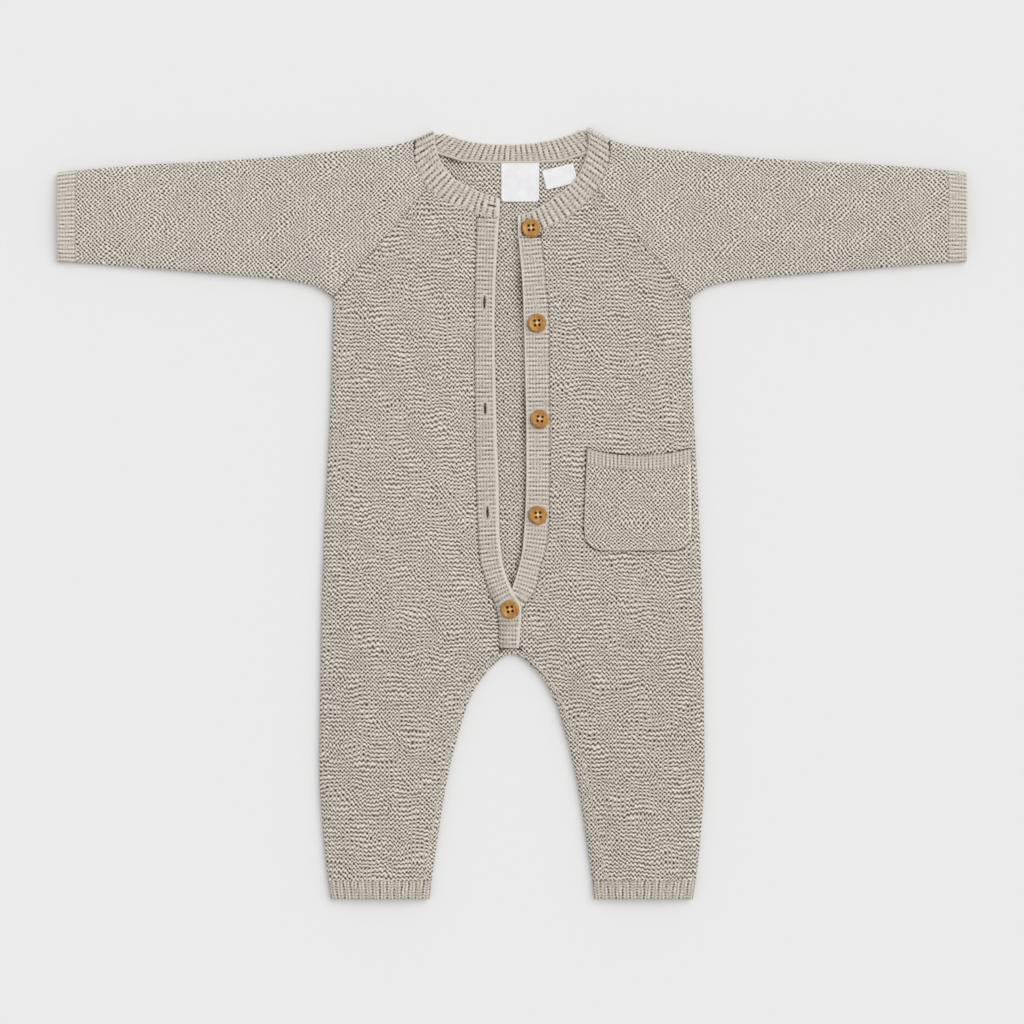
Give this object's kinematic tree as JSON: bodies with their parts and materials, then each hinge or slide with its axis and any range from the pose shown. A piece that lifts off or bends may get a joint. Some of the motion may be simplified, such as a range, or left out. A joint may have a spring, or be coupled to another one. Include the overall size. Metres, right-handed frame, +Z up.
{
  "type": "baby romper",
  "caption": "Knitted long-sleeved baby romper laid flat, with ribbed neckband and cuffs, open button front and patch pocket.",
  "frame": {"origin": "on the supporting surface, under the middle of the garment's box", "axes": "+X to the wearer's left, +Y towards the neck, +Z up out of the garment's front"},
  "size_m": [0.6188, 0.5254, 0.013],
  "materials": {
    "garter_knit": "matt",
    "rib_knit": "matt",
    "button_wood": "satin",
    "label_satin": "satin"
  },
  "bodies": {
    "root": {"back": "garter_knit", "front_right": "garter_knit", "front_left": "garter_knit", "sleeve_right": "garter_knit", "sleeve_left": "garter_knit", "cuff_right": "rib_knit", "cuff_left": "rib_knit", "leg_hem_right": "rib_knit", "leg_hem_left": "rib_knit", "neckband": "rib_knit", "buttonhole_band": "rib_knit", "button_band": "rib_knit", "pocket": "garter_knit", "pocket_band": "rib_knit", "button_1": "button_wood", "button_2": "button_wood", "button_3": "button_wood", "button_4": "button_wood", "button_5": "button_wood", "neck_label": "label_satin", "size_tag": "label_satin"}
  },
  "joints": []
}
